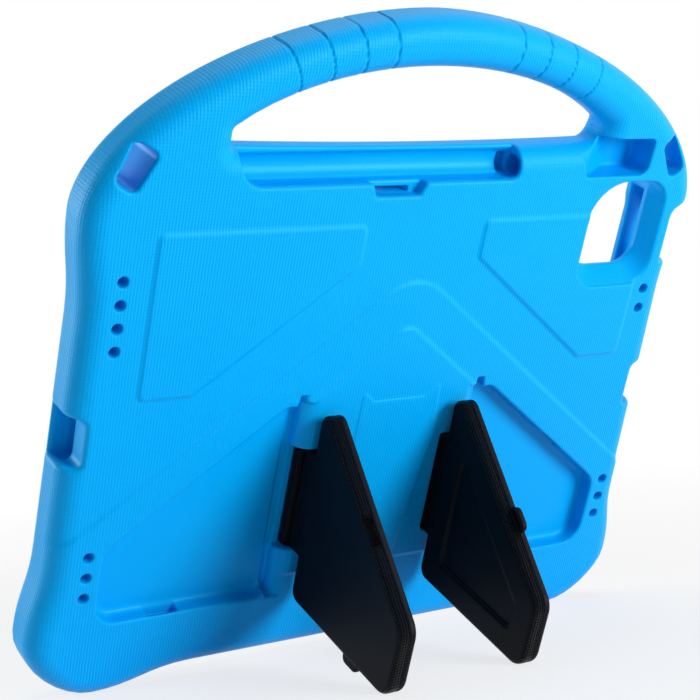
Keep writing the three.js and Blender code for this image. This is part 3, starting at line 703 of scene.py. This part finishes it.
def hinge_cuts(lattice, side):
    """A wing's pocket with the room that its barrel and web need, the pin's bore and the latch's hole."""
    axis = side * AXIS_OUT
    edge = side * (AXIS_OUT + WING_INNER + WING_GAP)
    foot, top = -WING_FOOT - WING_GAP, WING_TOP + WING_GAP
    outline = [(x + axis, z) for x, z in wing_outline(side, WING_GAP)]
    pocket = smooth_max(lattice.plan(outline), lattice.y - POCKET_FLOOR, 3.0)
    boss = lattice.block((axis - side * KNUCKLE_RADIUS * 2, axis + side * (WING_INNER - SWING_GAP)),
                         (-PAST_FACE, BACK_PLATE), (BOSS_FOOT - PAST_FACE, BOSS_TOP))
    pocket = smooth_max(pocket, -boss, 1.6)
    swept = lattice.block((axis, edge), (-PAST_FACE, POCKET_FLOOR), (foot, top))
    swept = np.maximum(swept, -lattice.rod(axis, AXIS_DEPTH, WING_INNER - SWING_GAP,
                                           foot - PAST_FACE, top + PAST_FACE))
    start, fall = AXIS_OUT + 2.6, 5.0
    run = AXIS_OUT + WING_INNER + WING_GAP - start
    below = (lattice.y + 2 * STEP_RISE) - (lattice.x * side - start) * fall / run
    slope = np.maximum(below / math.hypot(1, fall / run), span(lattice.x * side, start, start + run))
    slope = np.maximum(slope, span(lattice.z, foot, BOSS_TOP))
    knuckle = (KNUCKLE_FOOT - KNUCKLE_END_GAP, KNUCKLE_TOP + KNUCKLE_END_GAP)
    above = lattice.block((side * (AXIS_OUT - WING_FACE - KNUCKLE_GAP), edge), (-PAST_FACE, AXIS_DEPTH),
                          knuckle)
    web = lattice.block((axis, edge), (0, POCKET_FLOOR), knuckle)
    barrel = lattice.rod(axis, AXIS_DEPTH, KNUCKLE_RADIUS + KNUCKLE_GAP, *knuckle)
    trough = np.minimum(np.minimum(above, web), barrel)
    bore = lattice.rod(axis, AXIS_DEPTH, PIN_BORE, PIN_FOOT, PIN_TOP)
    latch = latch_cut(lattice, side)
    return [(pocket, 1.4), (swept, 0.8), (slope, 1.6), (trough, 1.2), (bore, 0.1), (latch, 0.9)]


def latch_cut(lattice, side):
    """The hole that a wing's nub or tab snaps into."""
    reach, length = LATCH_RISE + WING_GAP, LATCH_LENGTH / 2 + WING_GAP
    depth = span(lattice.y, AXIS_DEPTH + LATCH_NEAR - WING_GAP, AXIS_DEPTH + LATCH_FAR + FLOOR_GAP)
    x, z = lattice.x - side * (AXIS_OUT + LATCH_PLACE), lattice.z
    if side > 0:
        along, across = diagonal(x, z, LATCH_PLACE)
        return np.maximum(np.maximum(span(along, -length, length), span(across, -reach, reach)), depth)
    low = np.maximum(span(x, -length, length), span(z, -WING_FOOT - reach, -WING_FOOT))
    return np.maximum(low, depth)


def diagonal(x, z, place):
    """Distances along and across a wing's sloping edge, from so far out along it."""
    z = z - (WING_TOP - (place - WING_INNER) * CHEVRON_SLOPE)
    c, s = math.cos(CHEVRON_ANGLE), math.sin(CHEVRON_ANGLE)
    return x * c - z * s, x * s + z * c


def shell_lattice():
    """Points round the whole shell, closer in Z from the pencil channel upwards."""
    across, deep, plain, fine = 0.7, 0.62, 0.75, 0.55
    half, outside, screen_side, foot, change, top = 146.0, -3.6, 22.6, -113.0, 90.0, 163.6
    zs = np.concatenate([spaced(foot, change, plain), spaced(change, top, fine)[1:]])
    return Lattice(spaced(-half, half, across), spaced(outside, screen_side, deep), zs)


def make_shell():
    most_triangles = 196000
    lattice = shell_lattice()
    body = shell_body(lattice) + groove_depths(lattice)
    cuts = [*bay_cuts(lattice), (window_cut(lattice), 1.2), (speaker_cut(lattice), 0.6), *side_cuts(lattice)]
    cuts += channel_cuts(lattice)
    cuts.append((key_recess_cut(lattice), 1.2))
    for side in (-1, 1):
        cuts.append((np.broadcast_to(lattice.plan(strap_slot_outline(side)), body.shape), 1.6))
        cuts += hinge_cuts(lattice, side)
    field = body
    for tool, blend in cuts:
        field = smooth_max(field, -tool, blend)

    def grain(points, normals):
        """The weave lies on the outer skin and on the bay's floor, and fades out into the cuts."""
        near, fade, below, above, level = 0.15, 0.5, 0.3, 0.5, 0.9
        off = np.abs(sample(body, lattice.lines, points))
        on_skin = 1 - ease((off - near) / fade)
        at_floor = (points[:, 1] > BACK_PLATE - below) & (points[:, 1] < BACK_PLATE + above)
        return np.maximum(on_skin, at_floor & (normals[:, 1] > level))

    return moulded("shell_skin", field, lattice, most_triangles, grain)


# The wings, drawn folded flat with the hinge axis at the origin

def wing_field(lattice, side):
    plan = lattice.plan(wing_outline(side))
    inner_face = WING_THICK - WING_FACE
    plate = np.maximum(rounded_edge(plan, -WING_FACE - lattice.y, WING_EDGE),
                       rounded_edge(plan, lattice.y - inner_face, WING_EDGE))
    sunk = ease(0.5 - lattice.plan(wing_outline(side, -FIELD_MARGIN)) / FIELD_RUN)
    sunk = sunk * (lattice.y < -WING_FACE / 2)
    plate = plate + FIELD_DEPTH * sunk
    knuckle = (KNUCKLE_FOOT, KNUCKLE_TOP)
    barrel = lattice.rod(0, 0, KNUCKLE_RADIUS, *knuckle)
    web = lattice.block((0, side * (WING_INNER_FOOT + 2 * WING_EDGE)), (-WING_FACE, inner_face), knuckle)
    wing = smooth_min(plate, smooth_min(barrel, web, 0.5), 0.6)
    depth = span(lattice.y, LATCH_NEAR, LATCH_FAR)
    half = LATCH_LENGTH / 2
    if side > 0:
        along, across = diagonal(lattice.x - LATCH_PLACE, lattice.z, LATCH_PLACE)
        latch = rounded_edge(span(along, -half, half), span(across, -LATCH_RISE, LATCH_RISE), TAB_ROUND)
    else:
        latch = rounded_edge(span(lattice.x + LATCH_PLACE, -half, half),
                             span(lattice.z + WING_FOOT, -LATCH_RISE, LATCH_RISE), NUB_ROUND)
        along, across = diagonal(-lattice.x - PULL_PLACE, lattice.z, PULL_PLACE)
        pull = np.maximum(span(along, -PULL_LENGTH / 2, PULL_LENGTH / 2),
                          span(across, -PULL_DEPTH, PULL_DEPTH))
        wing = smooth_max(wing, -np.maximum(pull, LATCH_NEAR - lattice.y), 0.8)
    wing = smooth_min(wing, rounded_edge(latch, depth, LATCH_EDGE), 0.6)
    bore = lattice.rod(0, 0, SLEEVE_BORE, KNUCKLE_FOOT - PAST_FACE, KNUCKLE_TOP + PAST_FACE)
    return smooth_max(wing, -bore, 0.3)


def seam_depth(side):
    """Depth of the parting line that runs round a wing's edge."""
    middle = WING_THICK / 2 - WING_FACE
    return middle + side * SEAM_SHIFT


def make_wing(name, body, side):
    most_triangles, pitch, deep_pitch, room, wide_room, inwards = 36000, 0.5, 0.4, 1.5, 2.5, 7.0
    reach = sorted((side * -inwards, side * (WING_REACH + wide_room)))
    lattice = Lattice(spaced(*reach, pitch), spaced(-WING_FACE - room, KNUCKLE_RADIUS + room, deep_pitch),
                      spaced(-WING_FOOT - LATCH_RISE - room, WING_TOP + wide_room, pitch))
    field = wing_field(lattice, side)
    seam = np.exp(-((lattice.y - seam_depth(side)) / SEAM_WIDTH) ** 2) * SEAM_DEPTH
    field = field + seam * (lattice.plan(wing_outline(side)) > -WING_EDGE)

    def grain(points, normals):
        """The weave lies on the edge alone, on the left of the parting line of an open wing."""
        steep, fade, seam_fade = 0.75, 0.2, 0.6
        on_edge = 1 - ease((np.abs(normals[:, 1]) - steep) / fade)
        within = (points[:, 1] - seam_depth(side)) * side
        return on_edge * ease(0.5 - within / seam_fade)

    def place(points):
        """Turns the folded wing out to its open place, square to the back."""
        turned = np.stack([points[:, 1] * side, -points[:, 0] * side, points[:, 2]], 1)
        return turned + np.array([side * AXIS_OUT, AXIS_DEPTH, 0])

    piece = moulded(f"{name}_skin", field, lattice, most_triangles, grain, place)
    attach(piece, body)
    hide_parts(name)
    return piece


# Materials

class Graph:
    """Nodes of one material, joined as they are made."""

    def __init__(self, name):
        self.material = bpy.data.materials.new(name)
        self.material.use_nodes = True
        self.nodes = self.material.node_tree.nodes
        self.shader = self.nodes["Principled BSDF"]

    def join(self, value, socket):
        if isinstance(value, bpy.types.NodeSocket):
            self.material.node_tree.links.new(value, socket)
        else:
            socket.default_value = value

    def math(self, operation, first, second=0.0):
        node = self.nodes.new("ShaderNodeMath")
        node.operation = operation
        self.join(first, node.inputs[0])
        self.join(second, node.inputs[1])
        return node.outputs[0]

    def axes(self, output):
        """X, Y and Z of a texture coordinate, turned into the case's own frame."""
        source = self.nodes.new("ShaderNodeTexCoord")
        turn = self.nodes.new("ShaderNodeMapping")
        turn.vector_type = "POINT"
        turn.inputs["Rotation"].default_value = (-LEAN, 0, 0)
        self.join(source.outputs[output], turn.inputs["Vector"])
        parts = self.nodes.new("ShaderNodeSeparateXYZ")
        self.join(turn.outputs[0], parts.inputs[0])
        return list(parts.outputs)

    def attribute(self, name):
        node = self.nodes.new("ShaderNodeAttribute")
        node.attribute_name = name
        return node.outputs["Fac"]

    def noise(self, scale, detail=2.0):
        source = self.nodes.new("ShaderNodeTexCoord")
        node = self.nodes.new("ShaderNodeTexNoise")
        node.inputs["Scale"].default_value = scale
        node.inputs["Detail"].default_value = detail
        self.join(source.outputs["Object"], node.inputs["Vector"])
        return node.outputs["Fac"]

    def ramp(self, value, low, high):
        """The value, from 0 to 1, spread between two numbers."""
        return self.math("ADD", self.math("MULTIPLY", value, high - low), low)

    def mix(self, share, first, second):
        node = self.nodes.new("ShaderNodeMix")
        node.data_type = "RGBA"
        self.join(share, node.inputs["Factor"])
        self.join((*first, 1), node.inputs[6])
        self.join((*second, 1), node.inputs[7])
        return node.outputs[2]

    def bump(self, height, distance):
        node = self.nodes.new("ShaderNodeBump")
        node.inputs["Strength"].default_value = 1.0
        node.inputs["Distance"].default_value = distance
        self.join(height, node.inputs["Height"])
        self.join(node.outputs[0], self.shader.inputs["Normal"])

    def wave(self, value, pitch):
        return self.math("SINE", self.math("MULTIPLY", value, 2 * math.pi / pitch))

    def ribbed(self, pitch):
        """Fine upright ribs crossed by weaker level ones, on whichever side the surface faces."""
        sharpness, upright, level = 3.0, 0.6, 0.4
        parts = self.axes("Object")
        facing = [self.math("POWER", self.math("ABSOLUTE", part), sharpness) for part in self.axes("Normal")]
        total = 0.0
        for axis, (first, second) in enumerate(((1, 2), (0, 2), (0, 1))):
            ribs = self.math("MULTIPLY", self.wave(parts[first], pitch), upright)
            cross = self.math("MULTIPLY", self.wave(parts[second], pitch), level)
            both = self.math("MULTIPLY", self.math("ADD", ribs, cross), facing[axis])
            total = self.math("ADD", total, both)
        return total

    def diamonds(self, pitch):
        """A slanted weave along the wings' sloping edges."""
        steepness = 1.5
        x, y, z = self.axes("Object")
        along = self.math("ADD", self.math("MULTIPLY", y, math.cos(CHEVRON_ANGLE)),
                          self.math("MULTIPLY", z, math.sin(CHEVRON_ANGLE)))
        steep = self.math("MULTIPLY", along, steepness)
        return self.math("MULTIPLY", self.wave(self.math("ADD", steep, x), pitch),
                         self.wave(self.math("SUBTRACT", steep, x), pitch))


def foam_material(name, pattern, colours, height, pores, plain_roughness, grain_roughness, specular):
    """Moulded foam skin, with a woven pattern where the grain attribute says so and fine pores all over."""
    pore_scale, cloud_scale, uneven = 900.0, 14.0, 0.04
    graph = Graph(name)
    grain = graph.attribute("grain")
    weave = graph.math("MULTIPLY", pattern(graph), grain)
    graph.bump(graph.math("ADD", weave, graph.math("MULTIPLY", graph.noise(pore_scale, 3.0), pores)), height)
    cloud = graph.noise(cloud_scale, 4.0)
    graph.join(graph.mix(cloud, *colours), graph.shader.inputs["Base Color"])
    worn = graph.math("ADD", graph.ramp(cloud, -uneven, uneven),
                      graph.ramp(grain, plain_roughness, grain_roughness))
    graph.join(worn, graph.shader.inputs["Roughness"])
    graph.shader.inputs["Specular IOR Level"].default_value = specular
    return graph


def blue_foam():
    graph = foam_material(
        "blue foam", lambda graph: graph.ribbed(1.25 * MM), ((0.0, 0.345, 0.80), (0.0, 0.375, 0.85)),
        height=0.055 * MM, pores=0.5, plain_roughness=0.38, grain_roughness=0.44, specular=0.25)
    graph.shader.inputs["Specular Tint"].default_value = (0.2, 0.75, 1.0, 1.0)
    return graph.material


def black_foam():
    return foam_material(
        "black foam", lambda graph: graph.diamonds(2.3 * MM),
        ((0.0008, 0.0014, 0.0036), (0.0012, 0.0020, 0.0046)),
        height=0.9 * MM, pores=0.035, plain_roughness=0.5, grain_roughness=0.32, specular=0.1).material


def drawn_steel():
    graph = Graph("drawn steel")
    graph.shader.inputs["Metallic"].default_value = 1.0
    streaks = graph.noise(700.0, 2.0)
    colours = (0.50, 0.51, 0.53), (0.62, 0.63, 0.65)
    graph.join(graph.mix(streaks, *colours), graph.shader.inputs["Base Color"])
    graph.join(graph.ramp(streaks, 0.25, 0.4), graph.shader.inputs["Roughness"])
    return graph.material


def pale_nylon():
    graph = Graph("pale nylon")
    cloud = graph.noise(400.0, 3.0)
    colours = (0.68, 0.68, 0.64), (0.76, 0.76, 0.72)
    graph.join(graph.mix(cloud, *colours), graph.shader.inputs["Base Color"])
    graph.join(graph.ramp(cloud, 0.4, 0.55), graph.shader.inputs["Roughness"])
    graph.bump(cloud, 0.02 * MM)
    return graph.material


def dress(piece, material):
    piece.data.materials.clear()
    piece.data.materials.append(material)


# Floor, lamps and backdrop

def seen_share(tree):
    """One where a ray from the camera, a mirror or glass meets the surface, else nought."""
    path = tree.nodes.new("ShaderNodeLightPath")
    total = 0.0
    for kind in ("Is Camera Ray", "Is Glossy Ray", "Is Transmission Ray"):
        node = tree.nodes.new("ShaderNodeMath")
        node.operation = "MAXIMUM"
        tree.links.new(path.outputs[kind], node.inputs[0])
        if total:
            tree.links.new(total, node.inputs[1])
        else:
            node.inputs[1].default_value = 0.0
        total = node.outputs[0]
    return total


def floor_material(clear_radius, fade_radius, near_white):
    """Pale and matt, with near_white's share of plain white under the case and nothing else far out."""
    grey = 0.92
    material = bpy.data.materials.new("floor")
    material.use_nodes = True
    tree = material.node_tree
    matt = tree.nodes["Principled BSDF"]
    matt.inputs["Base Color"].default_value = (grey, grey, grey, 1)
    matt.inputs["Roughness"].default_value = 0.9
    matt.inputs["Specular IOR Level"].default_value = 0.0
    white = tree.nodes.new("ShaderNodeEmission")
    source = tree.nodes.new("ShaderNodeTexCoord")
    length = tree.nodes.new("ShaderNodeVectorMath")
    length.operation = "LENGTH"
    tree.links.new(source.outputs["Object"], length.inputs[0])
    spread = tree.nodes.new("ShaderNodeMapRange")
    spread.inputs["From Min"].default_value = clear_radius
    spread.inputs["From Max"].default_value = fade_radius
    spread.inputs["To Min"].default_value = near_white
    tree.links.new(length.outputs["Value"], spread.inputs["Value"])
    share = tree.nodes.new("ShaderNodeMath")
    share.operation = "MULTIPLY"
    tree.links.new(spread.outputs["Result"], share.inputs[0])
    tree.links.new(seen_share(tree), share.inputs[1])
    mixed = tree.nodes.new("ShaderNodeMixShader")
    tree.links.new(share.outputs[0], mixed.inputs["Fac"])
    tree.links.new(matt.outputs[0], mixed.inputs[1])
    tree.links.new(white.outputs[0], mixed.inputs[2])
    tree.links.new(mixed.outputs[0], tree.nodes["Material Output"].inputs["Surface"])
    return material


def make_floor():
    """A wide floor, in metres."""
    size, clear_radius, fade_radius, near_white = 12.0, 0.22, 0.6, 0.75
    bpy.ops.mesh.primitive_plane_add(size=size, location=(0, 0, 0))
    floor = bpy.context.object
    floor.name = "floor"
    dress(floor, floor_material(clear_radius, fade_radius, near_white))


def make_world(strength):
    """A plain white backdrop that lights the object at the given strength."""
    world = bpy.data.worlds.new("studio")
    world.use_nodes = True
    tree = world.node_tree
    light = tree.nodes["Background"]
    light.inputs["Color"].default_value = (1, 1, 1, 1)
    light.inputs["Strength"].default_value = strength
    backdrop = tree.nodes.new("ShaderNodeBackground")
    backdrop.inputs["Color"].default_value = (1, 1, 1, 1)
    mixed = tree.nodes.new("ShaderNodeMixShader")
    tree.links.new(seen_share(tree), mixed.inputs["Fac"])
    tree.links.new(light.outputs[0], mixed.inputs[1])
    tree.links.new(backdrop.outputs[0], mixed.inputs[2])
    tree.links.new(mixed.outputs[0], tree.nodes["World Output"].inputs["Surface"])
    bpy.context.scene.world = world


def make_lamp(name, place, size, power):
    """A soft lamp at a place in the frame, in metres, that faces the middle of the case."""
    place = np.array(place)
    data = bpy.data.lights.new(name, "AREA")
    data.shape = "DISK"
    data.size = size
    data.energy = power
    lamp = bpy.data.objects.new(name, data)
    bpy.context.scene.collection.objects.link(lamp)
    back = unit(place - LAMP_TARGET)
    side = unit(np.cross([0, 0, 1], back))
    turn = np.eye(4)
    turn[:3, :3] = np.stack([side, np.cross(back, side), back]).T
    turn[:3, 3] = place
    lamp.matrix_world = Matrix(turn.tolist())


# Assembly

make_camera()
blue = blue_foam()
black = black_foam()
shell = make_shell()
dress(shell, blue)
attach(shell, "shell")
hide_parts("foam_shell")
for wing_name, wing_body, wing_side in (("left_wing", "left_stand", -1), ("right_wing", "right_stand", 1)):
    dress(make_wing(wing_name, wing_body, wing_side), black)
steel = drawn_steel()
nylon = pale_nylon()
for node_side in ("left", "right"):
    dress(frame["nodes"][f"{node_side}_hinge_pin"], steel)
    dress(frame["nodes"][f"{node_side}_hinge_sleeve"], nylon)
make_floor()
make_world(WORLD_STRENGTH)
for lamp in LAMPS:
    make_lamp(*lamp)
bpy.context.scene.view_settings.view_transform = "Standard"
